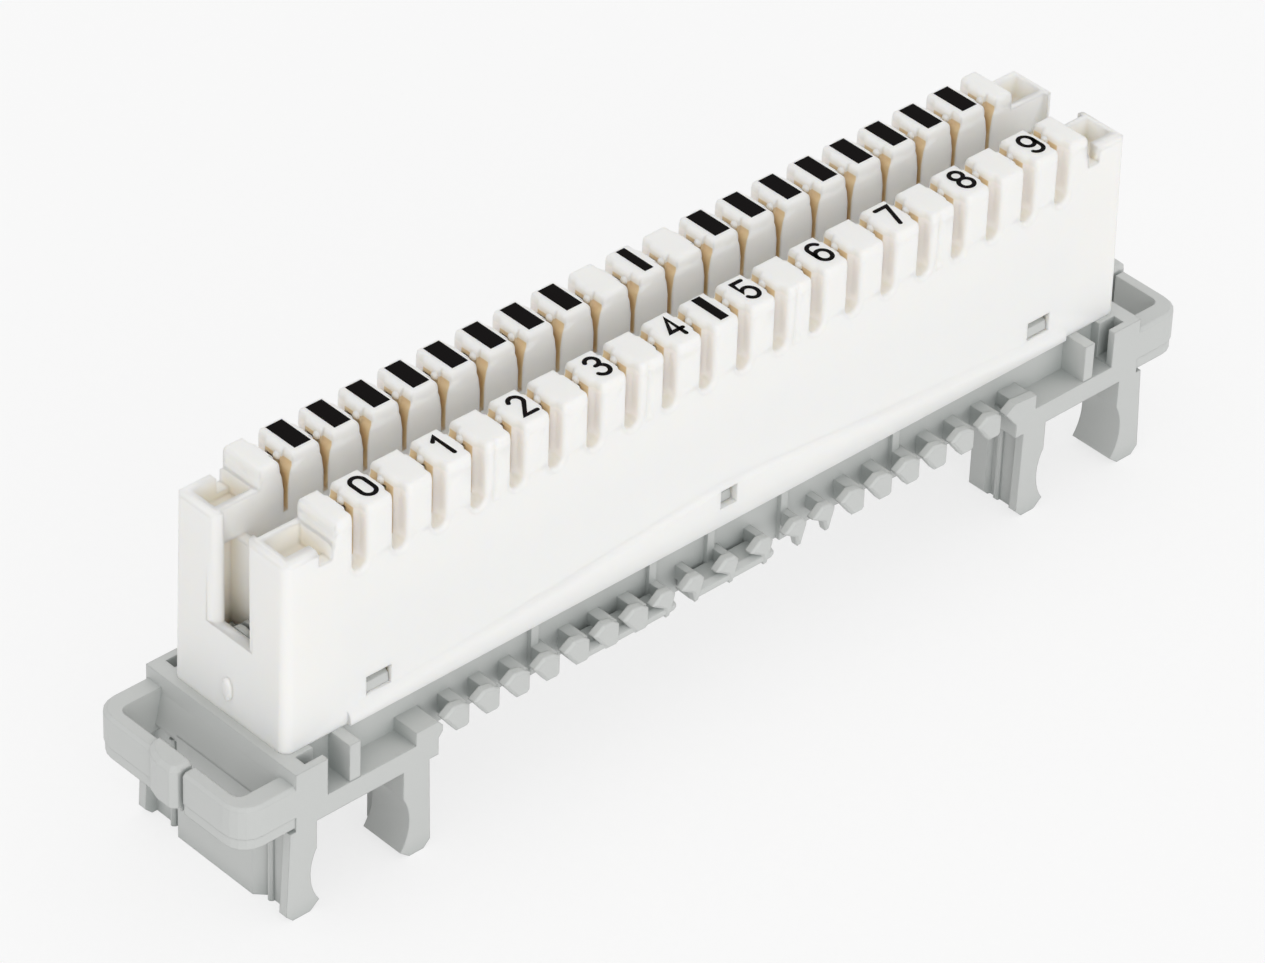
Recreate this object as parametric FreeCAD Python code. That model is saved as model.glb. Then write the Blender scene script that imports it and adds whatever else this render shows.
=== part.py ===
import FreeCAD, Part
import math
import os

# Punch down wiring block, in millimetres.
# X runs along the row of terminals, Y across the block (front is -Y), Z is up.
# The origin is on the plane of the foot tips, at the middle of the block.

Vector = FreeCAD.Vector
origin = Vector(0, 0, 0)
along_x = Vector(1, 0, 0)
along_y = Vector(0, 1, 0)
along_z = Vector(0, 0, 1)

# Driving dimensions: terminals and mounting bars.
terminal_pitch = 4.75
terminals_per_row = 20
row_inset = 3.0
bar_spacing = 95.0
bar_radius = 6.0
bar_height = 4.3

# Driving dimensions: white contact housing.
base_height = 17.0
housing_height = 23.45
housing_width = 16.0
side_draft = 0.2
end_draft = 0.4
corner_radius = 1.0
end_margin = 9.145
tower_margin = 6.07
tower_drop = 2.2
end_wall = 1.4
channel_width = 5.2
channel_depth = 10.45
channel_floor_thickness = 1.2
chamber_length = 1.85
chamber_width = 6.8
chamber_ceiling_drop = 6.15
cross_wall = 1.2
cross_wall_lift = 9.0
end_slot_width = 4.1
end_slot_radius = 1.2
end_bump_height = 2.7
end_bump_width = 1.2
end_bump_lift = 3.1
end_bump_proud = 0.35
partition = 1.35
side_wall = 1.4
skirt_depth = 4.6

# Driving dimensions: wire slots.
slot_width = 0.96
slot_depth = 6.05
slot_bevel_width = 2.5
slot_bevel_depth = 0.85
mouth_width = 1.7
mouth_depth = 1.35
mouth_step = 0.3
mouth_rounding = 0.45
mouth_arc_sides = 4
funnel_width = 1.8
funnel_shoulder = 1.05
funnel_throat = 0.6
funnel_height = 2.6
funnel_depth = 1.3
nub_radius = 0.42
nub_offset = 0.45
nub_inset = 0.6
nub_drop = 0.5
nub_sides = 6
top_rounding = 0.4
groove_every_count = 4
groove_offset = -0.35
groove_width = 0.4
groove_depth = 0.2

# Driving dimensions: tower pockets and side windows.
pocket_length = 4.25
pocket_width = 3.05
pocket_depth = 2.25
pocket_wall = 1.35
notch_length = 1.5
notch_depth = 1.65
window_height = 2.1
window_lift = 2.1
end_window_x = 43.0
end_window_length = 3.0
middle_window_x = 0.55
middle_window_length = 2.1

# Driving dimensions: raised band along the foot of the long faces.
band_proud = 0.45
band_end_inset = 7.47
band_end_height = 1.5
band_peak_height = 4.95
band_shoulder_height = 3.3
band_shoulder_x = 21.0
band_bevel = 0.6

# Driving dimensions: contacts.
fork_width = 2.9
fork_thickness = 0.5
fork_drop = 1.45
fork_length = 11.5
fork_slit = 0.35
fork_slit_depth = 5.8
fork_lead_in = 1.1
pocket_clearance = 0.15
stem_width = 1.8
stem_thickness = 0.5
tail_width = 1.2
tail_length = 3.5
leaf_thickness = 0.4
leaf_foot_lift = 2.2
leaf_contact_lift = 9.6
leaf_contact_height = 0.6
leaf_flare_height = 1.3
leaf_flare_reach = 0.55
tail_clearance = 0.05
plug_opening_length = 1.4
plug_opening_width = 4.2

# Driving dimensions: grey base moulding.
ledge = 0.95
wall_inset = 0.45
base_wall = 1.3
deck_thickness = 3.0
middle_wall_height = 6.0
flange_width = 3.15
beam_height = 2.4
bar_top_clearance = 0.1
upstand_height = 4.4
upstand_wall = 0.9
fit_clearance = 0.1
window_nub_reach = 0.25
end_block_length = 3.8
rib_length = 1.3
rib_to_block = 2.7
key_slot_length = 2.1
key_slot_width = 1.3
key_slot_front_wall = 0.8
key_slot_depth = 4.0
chamber_post_height = 7.4
hump_height = 9.3
hump_radius = 1.6
hump_thickness = 0.6
end_wall_drop = 5.4
end_wall_lean = 0.8

# Driving dimensions: end loops.
loop_reach = 6.5
loop_top_drop = 1.4
loop_height = 4.8
loop_parting_lift = 1.25
loop_side_bar = 2.2
loop_end_bar = 1.45
loop_corner_radius = 2.6
loop_edge_chamfer = 0.35
loop_parting_step = 0.12
loop_corner_sides = 5
loop_gap = 0.45
loop_gap_y = -2.25
bulge_length = 4.6
bulge_proud = 0.8
bulge_rise = 0.35
bulge_corner = 0.6
bulge_crown = 0.5

# Driving dimensions: clip feet.
leg_inner_reach = 5.25
leg_outer_reach = 8.4
leg_splay = 0.5
lip_height = 0.9
lip_lead_in = 1.1
tip_radius = 0.8
post_width = 1.0
web_reach = 7.5
leg_rib_reach = 7.95
leg_rib_width = 0.7
leg_rib_start = 3.3
leg_plate_reach = 8.15
leg_plate_start = 4.6
leg_plate_width = 2.4
seat_width = 5.25
end_plate_width = 10.8
end_plate_thickness = 1.2
end_plate_overlap = 0.5

# Driving dimensions: wire guide hooks.
hook_count = 19
hook_head_thickness = 1.0
hook_start_gap = 10.18
hook_end_gap = 11.18
middle_extra = 0.75
middle_hook_count = 8
middle_steps = 3
hook_head_width = 3.3
hook_barb_z = -2.94
hook_top_z = -2.13
hook_stem_width = 1.35
hook_stem_top = -2.65
hook_bottom_z = -5.22
hook_head_rounding = 0.25
low_cut_first_count = 7
low_cut_last_count = 12
wall_rib_width = 1.0
wall_rib_proud = 0.5
wall_rib_every_count = 4
middle_rib_x = -1.15
low_bar_height = 1.5
low_bar_depth = 1.3
block_length = 2.7
block_drop = 2.7
block_chamfer = 0.55

# Places worked out from the driving dimensions.
terminal_xs = [(k - (terminals_per_row - 1) / 2) * terminal_pitch for k in range(terminals_per_row)]
last_terminal = terminal_xs[-1]
half_length = last_terminal + end_margin
half_width = housing_width / 2
row_offset = half_width - row_inset
wall_face = half_width - wall_inset
flange_reach = wall_face + flange_width
ledge_z = base_height
top_z = ledge_z + housing_height
tower_z = top_z - tower_drop
tower_x = half_length - tower_margin
channel_z = top_z - channel_depth
cell_top_z = channel_z - channel_floor_thickness
chamber_end = half_length - end_wall
chamber_start = chamber_end - chamber_length
cross_wall_start = chamber_start - cross_wall
chamber_ceiling_z = top_z - chamber_ceiling_drop
cross_wall_z = ledge_z + cross_wall_lift
cell_half_width = half_width - side_wall
deck_z = ledge_z - deck_thickness
bar_x = bar_spacing / 2
beam_z = bar_height + bar_radius + bar_top_clearance
flange_z = beam_z + beam_height
base_end = max(bar_x + leg_outer_reach - 0.7, half_length + ledge)
block_start = base_end - end_block_length
rib_end = block_start - rib_to_block
far = 200.0


# Shape helpers.
def box(x_span, y_span, z_span):
    """A box from the low to the high value on each axis."""
    size = [high - low for low, high in (x_span, y_span, z_span)]
    return Part.makeBox(*size, Vector(x_span[0], y_span[0], z_span[0]))


def wire_face(points):
    """A flat face inside straight edges through the points."""
    return Part.Face(Part.makePolygon(points + points[:1]))


def prism_along_x(points, low, high):
    """A (y, z) outline carried from x = low to x = high."""
    face = wire_face([Vector(low, y, z) for y, z in points])
    return face.extrude(along_x * (high - low))


def prism_along_y(points, low, high):
    """An (x, z) outline carried from y = low to y = high."""
    face = wire_face([Vector(x, low, z) for x, z in points])
    return face.extrude(along_y * (high - low))


def prism_along_z(points, low, high):
    """An (x, y) outline carried from z = low to z = high."""
    face = wire_face([Vector(x, y, low) for x, y in points])
    return face.extrude(along_z * (high - low))


def mirrored_points(points):
    """An outline closed by its own mirror image in its first coordinate."""
    return points + [(-a, b) for a, b in reversed(points)]


def front_and_back(shapes):
    """The shapes and their mirror images in Y."""
    return shapes + [shape.mirror(origin, along_y) for shape in shapes]


def both_rows(shapes, x):
    """The shapes of the front row and the same shapes turned half a turn about the terminal at x."""
    turned = [shape.copy() for shape in shapes]
    for shape in turned:
        shape.rotate(Vector(x, 0, 0), along_z, 180)
    return shapes + turned


def left_and_right(shapes):
    """The shapes and their mirror images in X."""
    return shapes + [shape.mirror(origin, along_x) for shape in shapes]


def frustum(low_half, low_z, high_half, high_z):
    """A block whose rectangular section changes from low_half to high_half (half sizes in X, Y)."""
    wedge = Part.makeWedge(
        -low_half[0], 0, -low_half[1], -high_half[1], -high_half[0],
        low_half[0], high_z - low_z, low_half[1], high_half[1], high_half[0],
    )
    wedge.rotate(origin, along_x, 90)
    wedge.translate(Vector(0, 0, low_z))
    return wedge


def upright_edges(shape, height):
    """The edges of a shape that climb at least the given height."""
    return [edge for edge in shape.Edges if edge.BoundBox.ZLength > height]


def single_solid(shape):
    """The shape as one clean solid."""
    clean = shape.removeSplitter()
    return clean.Solids[0] if len(clean.Solids) == 1 else clean


# White contact housing.
def housing_blank():
    """The drafted block with rounded corners, before anything is cut from it."""
    top_half = (half_length - end_draft, half_width - side_draft)
    block = frustum((half_length, half_width), ledge_z, top_half, top_z)
    return block.makeFillet(corner_radius, upright_edges(block, housing_height / 2))


def band():
    """The low gable-shaped band that stands proud of the front face, with a sloped top."""
    end_x = half_length - band_end_inset
    heights = [
        (end_x, band_end_height),
        (band_shoulder_x, band_shoulder_height),
        (0, band_peak_height),
        (-band_shoulder_x, band_shoulder_height),
        (-end_x, band_end_height),
    ]
    foot = [(-end_x, 0), (end_x, 0)]
    outer, inner = [
        [Vector(x, y, ledge_z + z) for x, z in foot]
        + [Vector(x, y, ledge_z + z + rise) for x, z in heights]
        for y, rise in ((-half_width - band_proud, -band_bevel), (-half_width + band_proud, band_bevel))
    ]
    faces = [wire_face(outer), wire_face(inner)]
    for i in range(len(outer)):
        j = (i + 1) % len(outer)
        faces.append(wire_face([outer[i], outer[j], inner[j], inner[i]]))
    return Part.Solid(Part.Shell(faces))


def mouth_outline(half):
    """The (dx, z) outline of a slot's mouth: upright sides over a round bottom, half wide each way."""
    centre_z = top_z - slot_depth + mouth_width / 2
    outline = []
    for k in range(mouth_arc_sides + 1):
        angle = math.pi * (1 + k / mouth_arc_sides)
        outline.append((half * math.cos(angle), centre_z + half * math.sin(angle)))
    return outline + [(half, top_z + 1), (-half, top_z + 1)]


def mouth(x):
    """Cutter of one front slot's mouth: a sloped edge, a straight part and a sloped step."""
    face_y = -half_width
    wide = mouth_width / 2
    sections = [
        (face_y - mouth_rounding, wide + 2 * mouth_rounding),
        (face_y + mouth_rounding, wide),
        (face_y + mouth_depth, wide),
        (face_y + mouth_depth + mouth_step, slot_width / 2),
    ]
    rings = [[Vector(x + dx, y, z) for dx, z in mouth_outline(half)] for y, half in sections]
    faces = [wire_face(rings[0]), wire_face(rings[-1])]
    for near, deep in zip(rings, rings[1:]):
        for i in range(len(near)):
            j = (i + 1) % len(near)
            faces.append(wire_face([near[i], near[j], deep[j], deep[i]]))
    return Part.Solid(Part.Shell(faces))


def wire_slot(x):
    """Cutters of one front slot: bevelled narrow slot, outer mouth and channel-side funnel."""
    narrow = slot_width / 2
    wide = slot_bevel_width / 2
    floor_z = top_z - slot_depth
    bevel_z = top_z - slot_bevel_depth
    outline = mirrored_points([
        (narrow, floor_z),
        (narrow, bevel_z),
        (wide, top_z),
        (wide, top_z + 1),
    ])
    slot = prism_along_y(
        [(x + dx, z) for dx, z in outline],
        -half_width - 1,
        -channel_width / 2 - funnel_depth,
    )
    throat = funnel_throat / 2
    funnel_outline = mirrored_points([
        (throat, floor_z),
        (throat, bevel_z - funnel_height),
        (funnel_shoulder / 2, bevel_z - funnel_height * 0.42),
        (funnel_width / 2, bevel_z),
        (funnel_width / 2, top_z + 1),
    ])
    funnel = prism_along_y(
        [(x + dx, z) for dx, z in funnel_outline],
        -channel_width / 2 - funnel_depth,
        -channel_width / 2 + 1,
    )
    return [slot, funnel, mouth(x)]


def top_edges():
    """Cutters that take the sharp long edges off the teeth and the towers."""
    front = half_width - side_draft
    end = half_length - end_draft
    corner = [(0, -top_rounding), (1, -top_rounding), (1, 1), (-top_rounding, 1), (-top_rounding, 0)]
    outer = [(-front - dy, top_z + dz) for dy, dz in corner]
    inner = [(-channel_width / 2 + dy, top_z + dz) for dy, dz in corner]
    cutters = [prism_along_x(outline, -tower_x - 1, tower_x + 1) for outline in (outer, inner)]
    tower = prism_along_x([(-front - dy, tower_z + dz) for dy, dz in corner], tower_x, far)
    shoulder = prism_along_y([(tower_x + dx, top_z + dz) for dx, dz in corner], -far, 0)
    tip = prism_along_y([(end + dx, tower_z + dz) for dx, dz in corner], -far, 0)
    return front_and_back(cutters + left_and_right([tower, shoulder, tip]))


def grooves():
    """Cutters of the fine upright V grooves on every fourth tooth of both rows."""
    depth = side_draft + groove_depth
    outside = 1.0
    half = groove_width / 2 * (depth + outside) / depth
    shapes = []
    for k in range(groove_every_count, terminals_per_row - 1, groove_every_count):
        x = (k - terminals_per_row / 2) * terminal_pitch + groove_offset
        outline = [
            (x, -half_width + depth),
            (x - half, -half_width - outside),
            (x + half, -half_width - outside),
        ]
        shapes.append(prism_along_z(outline, top_z - slot_depth, far))
    return front_and_back(shapes)


def nubs(x):
    """The two round nubs that hold the wire beside the front contact, on the channel side."""
    pair = []
    low = top_z - fork_drop + pocket_clearance
    high = top_z - nub_drop
    for side in (-1, 1):
        rim = []
        for k in range(nub_sides):
            angle = 2 * math.pi * k / nub_sides
            rim.append((
                x + side * nub_offset + nub_radius * math.cos(angle),
                -row_offset + nub_inset + nub_radius * math.sin(angle),
            ))
        pair.append(prism_along_z(rim, low, high))
    return pair


def contact_pocket(x):
    """The 45 degree pocket that a front contact is pushed up into."""
    length = fork_width + 2 * pocket_clearance
    width = fork_thickness + 2 * pocket_clearance
    top = top_z - fork_drop + pocket_clearance
    pocket = box((-length / 2, length / 2), (-width / 2, width / 2), (cell_top_z - 1, top))
    pocket.rotate(origin, along_z, 45)
    pocket.translate(Vector(x, -row_offset, 0))
    return pocket


def tower_pocket():
    """The pocket in the top of the front right tower, with the notch in its outer wall."""
    low_x = tower_x + 0.4
    front = -half_width + side_draft + pocket_wall
    pocket = box((low_x, low_x + pocket_length), (front, front + pocket_width), (tower_z - pocket_depth, far))
    notch = box((low_x, low_x + notch_length), (-far, front), (tower_z - notch_depth, far))
    return [pocket, notch]


def window(x, length):
    """A window through the front wall for one of the base's nubs."""
    low = ledge_z + window_lift
    return box((x - length / 2, x + length / 2), (-far, -cell_half_width + 1), (low, low + window_height))


def end_slot():
    """The tall slot in the right end wall, with rounded outer edges."""
    half = end_slot_width / 2
    outer_x = half_length - end_draft * 0.65
    inner_x = outer_x - end_slot_radius
    side = []
    for sign in (1, -1):
        centre = Vector(inner_x, sign * (half + end_slot_radius), cross_wall_z)
        start = centre + Vector(0, -sign * end_slot_radius, 0)
        middle = centre + Vector(math.sin(math.pi / 4), -sign * math.cos(math.pi / 4), 0) * end_slot_radius
        end = centre + Vector(end_slot_radius, 0, 0)
        side.append((start, Part.Arc(start, middle, end).toShape(), end))
    out = Vector(half_length + 1, 0, cross_wall_z)
    back = Vector(chamber_end - 0.5, 0, cross_wall_z)
    corners = [
        Vector(back.x, -half, cross_wall_z),
        Vector(back.x, half, cross_wall_z),
        Vector(out.x, side[0][2].y, cross_wall_z),
        Vector(out.x, side[1][2].y, cross_wall_z),
    ]
    edges = [
        Part.makeLine(corners[0], corners[1]),
        Part.makeLine(corners[1], side[0][0]),
        side[0][1],
        Part.makeLine(side[0][2], corners[2]),
        Part.makeLine(corners[2], corners[3]),
        Part.makeLine(corners[3], side[1][2]),
        side[1][1],
        Part.makeLine(side[1][0], corners[0]),
    ]
    face = Part.Face(Part.Wire(Part.__sortEdges__(edges)))
    return face.extrude(along_z * (far - cross_wall_z))


def end_bump():
    """The small oval boss low on the right end face."""
    half_y = end_bump_width / 2
    half_z = end_bump_height / 2
    centre_z = ledge_z + end_bump_lift
    shoulder = end_bump_width / 3
    outline = [
        (half_y, half_z - shoulder * 2),
        (half_y - shoulder * 0.6, half_z - shoulder * 0.6),
        (0, half_z),
        (-half_y + shoulder * 0.6, half_z - shoulder * 0.6),
        (-half_y, half_z - shoulder * 2),
    ]
    outline += [(y, -z) for y, z in reversed(outline)]
    face_x = half_length + end_bump_proud
    boss = prism_along_x([(y, centre_z + z) for y, z in outline], half_length - end_wall / 2, face_x)
    outer_rim = [edge for edge in boss.Edges if edge.BoundBox.XMin > face_x - 0.01]
    return boss.makeChamfer(end_bump_proud * 0.5, outer_rim)


def contact_housing():
    """The white moulding: two rows of toothed slots beside a channel, over a hollow foot."""
    blank = housing_blank().fuse(front_and_back([band()]))
    cutters = [
        box((-cross_wall_start, cross_wall_start), (-channel_width / 2, channel_width / 2), (channel_z, far)),
        box((-chamber_end, chamber_end), (-channel_width / 2, channel_width / 2), (chamber_ceiling_z, far)),
        box(
            (-chamber_end, chamber_end),
            (-cell_half_width, cell_half_width),
            (0, ledge_z + skirt_depth),
        ),
    ]
    ends = [
        box((tower_x, far), (-far, far), (tower_z, far)),
        box(
            (chamber_start, chamber_end),
            (-chamber_width / 2, chamber_width / 2),
            (0, chamber_ceiling_z),
        ),
        end_slot(),
    ]
    ends += front_and_back(tower_pocket())
    cutters += left_and_right(ends)
    windows = [window(side * end_window_x, end_window_length) for side in (-1, 1)]
    windows.append(window(middle_window_x, middle_window_length))
    cutters += front_and_back(windows) + top_edges() + grooves()
    cell_half = (terminal_pitch - partition) / 2
    for x in terminal_xs:
        cutters += both_rows(wire_slot(x) + [contact_pocket(x)], x)
        cutters.append(box(
            (x - cell_half, x + cell_half),
            (-cell_half_width, cell_half_width),
            (0, cell_top_z),
        ))
        cutters.append(box(
            (x - plug_opening_length / 2, x + plug_opening_length / 2),
            (-plug_opening_width / 2, plug_opening_width / 2),
            (0, channel_z + 1),
        ))
    body = blank.cut(cutters)
    additions = left_and_right([end_bump()])
    for x in terminal_xs:
        additions += both_rows(nubs(x), x)
    return single_solid(body.fuse(additions))


# Contacts.
def front_contact(x):
    """One stamped contact: slotted fork at 45 degrees, stem, tail and sprung leaf."""
    tip_z = top_z - fork_drop
    low_z = tip_z - fork_length
    half = fork_width / 2
    slit = fork_slit / 2
    outline = mirrored_points([
        (slit, tip_z - fork_slit_depth),
        (slit, tip_z - fork_lead_in),
        (half * 0.55, tip_z),
        (half, tip_z),
        (half, low_z),
    ])
    fork = prism_along_y(outline, -fork_thickness / 2, fork_thickness / 2)
    fork.rotate(origin, along_z, 45)
    fork.translate(Vector(x, -row_offset, 0))
    y_low = -row_offset - stem_thickness / 2
    y_high = -row_offset + stem_thickness / 2
    stem = box((x - stem_width / 2, x + stem_width / 2), (y_low, y_high), (ledge_z, low_z + 1.0))
    tail = box((x - tail_width / 2, x + tail_width / 2), (y_low, y_high), (ledge_z - tail_length, ledge_z))
    foot_z = ledge_z + leaf_foot_lift
    touch_z = ledge_z + leaf_contact_lift
    leaf = prism_along_x(
        [
            (y_low, foot_z - 0.6),
            (y_high, foot_z - 0.6),
            (0, touch_z),
            (0, touch_z + leaf_contact_height),
            (-leaf_flare_reach, touch_z + leaf_contact_height + leaf_flare_height),
            (-leaf_flare_reach - leaf_thickness, touch_z + leaf_contact_height + leaf_flare_height),
            (-leaf_thickness, touch_z + leaf_contact_height / 2),
            (y_low, foot_z + 0.5),
        ],
        x - stem_width / 2,
        x + stem_width / 2,
    )
    return single_solid(fork.fuse([stem, tail, leaf]))


def contacts():
    """Front and back contacts by name; the back row is the front row turned half a turn."""
    named = {}
    for number, x in enumerate(terminal_xs, start=1):
        front, back = both_rows([front_contact(x)], x)
        named["contact_front_%02d" % number] = front
        named["contact_back_%02d" % number] = back
    return named


# Grey base moulding.
def hook_tips():
    """The x of each hook's barb, from the left block's place to the right block's."""
    start = -(bar_x - hook_start_gap)
    end = bar_x - hook_end_gap
    pitch = (end - start - middle_steps * middle_extra) / hook_count
    tips = []
    for k in range(hook_count + 1):
        extra = min(max(k - middle_hook_count, 0), middle_steps) * middle_extra
        tips.append(start + k * pitch + extra)
    return tips


def hook(tip, low_cut):
    """One front T hook: a barbed head on a stem from the wall."""
    if low_cut:
        outline = [
            (0, hook_barb_z - 0.2),
            (1.27, hook_top_z),
            (2.5, hook_top_z - 0.23),
            (hook_head_width - 0.3, hook_barb_z),
            (2.6, -4.2),
            (2.3, hook_bottom_z),
            (1.9, hook_bottom_z - 0.15),
            (1.53, -4.1),
        ]
    else:
        outline = [
            (0, hook_barb_z),
            (1.27, hook_top_z),
            (2.5, hook_top_z - 0.23),
            (hook_head_width, hook_barb_z),
            (hook_head_width, hook_bottom_z + 0.37),
            (hook_head_width - 0.43, hook_bottom_z),
            (1.7, hook_bottom_z + 0.04),
        ]
    face_y = -flange_reach
    head = prism_along_y(
        [(tip + dx, ledge_z + z) for dx, z in outline],
        face_y,
        face_y + hook_head_thickness,
    )
    rim = [edge for edge in head.Edges if edge.BoundBox.YMax < face_y + 0.01]
    head = head.makeChamfer(hook_head_rounding, rim)
    stem_x = tip + hook_head_width - 0.05
    stem_low = hook_bottom_z + (1.0 if low_cut else 0.3)
    stem = box(
        (stem_x - hook_stem_width, stem_x - (0.5 if low_cut else 0)),
        (face_y + hook_head_thickness / 2, -wall_face + base_wall / 2),
        (ledge_z + stem_low, ledge_z + hook_stem_top),
    )
    return [head, stem]


def wall_rib(x):
    """A low upright rib on the front wall behind a hook."""
    return box(
        (x - wall_rib_width / 2, x + wall_rib_width / 2),
        (-wall_face - wall_rib_proud, -wall_face + base_wall / 2),
        (ledge_z - middle_wall_height, ledge_z),
    )


def low_bar(first_x, last_x):
    """A rounded bar that joins the lower ends of a run of hooks."""
    low = ledge_z + hook_bottom_z - 0.2
    face_y = -flange_reach + 0.15
    outline = [
        (face_y, low + 0.55),
        (face_y + 0.35, low + 0.12),
        (face_y + 0.8, low),
        (face_y + 2 * low_bar_depth, low + 0.1),
        (face_y + 2 * low_bar_depth, low + low_bar_height),
        (face_y + 0.6, low + low_bar_height),
        (face_y, low + low_bar_height - 0.35),
    ]
    bar = prism_along_x(outline, first_x, last_x)
    tip = prism_along_y(
        [
            (last_x - 0.9, low - 0.1),
            (last_x + 0.1, low - 0.1),
            (last_x + 0.1, low + 0.95),
        ],
        face_y - 0.1,
        0,
    )
    return bar.cut(tip)


def hooks():
    """All wire guide hooks of the front side, with their ribs, bars and end blocks."""
    tips = hook_tips()
    face_y = -flange_reach
    shapes = []
    for k in range(hook_count):
        shapes += hook(tips[k], low_cut_first_count <= k <= low_cut_last_count)
    for k in range(wall_rib_every_count - 1, hook_count - 1, wall_rib_every_count):
        shapes.append(wall_rib(tips[k] + hook_head_width - 1.0))
    shapes.append(wall_rib(middle_rib_x))
    bar_runs = ((4, 7), (8, 10))
    for first, last in bar_runs:
        shapes.append(low_bar(tips[first] + 1.9, tips[last] + hook_head_width - 0.2))
    left_end = tips[0] - 0.73
    left = prism_along_y(
        [
            (left_end - block_length, flange_z - 0.5),
            (left_end, flange_z - 0.5),
            (left_end + block_chamfer, ledge_z + hook_barb_z - 1.1),
            (left_end + block_chamfer, ledge_z + hook_barb_z - 0.4),
            (left_end, ledge_z - block_drop),
            (left_end - block_length, ledge_z - block_drop),
        ],
        face_y,
        -wall_face + base_wall / 2,
    )
    right_tip = tips[-1]
    right_end = right_tip + block_length + 1.6
    right = prism_along_y(
        [
            (right_tip, ledge_z + hook_barb_z - 0.1),
            (right_tip + 1.27, ledge_z + hook_top_z - 0.1),
            (right_end, ledge_z - block_drop + 0.2),
            (right_end, flange_z - 0.5),
            (right_tip + 1.9, ledge_z + hook_bottom_z - 0.07),
        ],
        face_y,
        face_y + hook_head_thickness,
    )
    right_stem = box(
        (right_tip + 1.9, right_end),
        (face_y, -wall_face + base_wall / 2),
        (flange_z - 0.5, ledge_z - block_drop),
    )
    return shapes + [left, right, right_stem]


def leg_outline(outer_reach, splay):
    """The (dx, z) outline of a clip leg on the +X side of its bar: round seat, lip and lead-in."""
    seat_top = bar_height + math.sqrt(bar_radius ** 2 - leg_inner_reach ** 2)
    lip_dx = math.sqrt(bar_radius ** 2 - (bar_height - lip_height) ** 2)
    start = Vector(leg_inner_reach, 0, seat_top)
    middle = Vector(bar_radius, 0, bar_height)
    end = Vector(lip_dx, 0, lip_height)
    tip_inner = Vector(lip_dx + lip_lead_in, 0, 0)
    tip_outer = Vector(outer_reach + splay - tip_radius, 0, 0)
    outer_low = Vector(outer_reach + splay, 0, tip_radius)
    outer_high = Vector(outer_reach, 0, beam_z)
    inner_high = Vector(leg_inner_reach, 0, beam_z)
    edges = [
        Part.makeLine(inner_high, start),
        Part.Arc(start, middle, end).toShape(),
        Part.makeLine(end, tip_inner),
        Part.makeLine(tip_inner, tip_outer),
        Part.makeLine(tip_outer, outer_low),
        Part.makeLine(outer_low, outer_high),
        Part.makeLine(outer_high, inner_high),
    ]
    return Part.Face(Part.Wire(edges))


def leg(plan, outer_reach, splay):
    """A front leg on the +X side of a bar at x = 0: its side outline kept inside its plan."""
    face = leg_outline(outer_reach, splay)
    face.translate(Vector(0, -far, 0))
    side = face.extrude(along_y * (2 * far))
    return side.common(prism_along_z(plan, -1, beam_z + 1))


def leg_plan(with_plate):
    """The plan of a front leg: post, thin web, rounded rib and seat, with a plate where asked."""
    front = -flange_reach
    rib_low = front + leg_rib_start
    rib_high = rib_low + leg_rib_width
    inner = leg_inner_reach - 1.0
    outer = leg_outer_reach + leg_splay + 0.1
    plan = [
        (inner, front),
        (outer, front),
        (outer, front + post_width),
        (web_reach, front + post_width),
        (web_reach, rib_low),
        (leg_rib_reach - 0.25, rib_low),
        (leg_rib_reach, rib_low + leg_rib_width / 3),
        (leg_rib_reach, rib_high - leg_rib_width / 3),
        (leg_rib_reach - 0.25, rib_high),
        (web_reach, rib_high),
    ]
    if with_plate:
        plate_low = front + leg_plate_start
        plan += [
            (web_reach, plate_low),
            (leg_plate_reach, plate_low + 0.3),
            (leg_plate_reach, plate_low + leg_plate_width),
            (web_reach - 0.6, plate_low + leg_plate_width),
            (web_reach - 0.6, front + seat_width),
        ]
    else:
        plan.append((web_reach, front + seat_width))
    plan.append((inner, front + seat_width))
    return plan


def feet():
    """Both clip feet: four legs a side that grip a round bar."""
    outer_leg = leg(leg_plan(False), leg_outer_reach, leg_splay)
    inner_leg = leg(leg_plan(True), leg_outer_reach, 0.2).mirror(origin, along_x)
    legs = []
    for piece in (outer_leg, inner_leg):
        right = piece.copy()
        right.translate(Vector(bar_x, 0, 0))
        legs += left_and_right([right])
    legs = front_and_back(legs)
    half = end_plate_width / 2
    reach = bar_x + leg_outer_reach + 0.1
    plate = prism_along_z(
        [
            (-reach, -half),
            (-reach, half),
            (-reach + end_plate_thickness, half + end_plate_thickness),
            (-reach + end_plate_thickness + 0.3, half + end_plate_thickness),
            (-reach + end_plate_thickness + 0.3, -half - end_plate_thickness),
            (-reach + end_plate_thickness, -half - end_plate_thickness),
        ],
        0,
        ledge_z - end_wall_drop + end_plate_overlap,
    )
    return legs + [plate]


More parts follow.
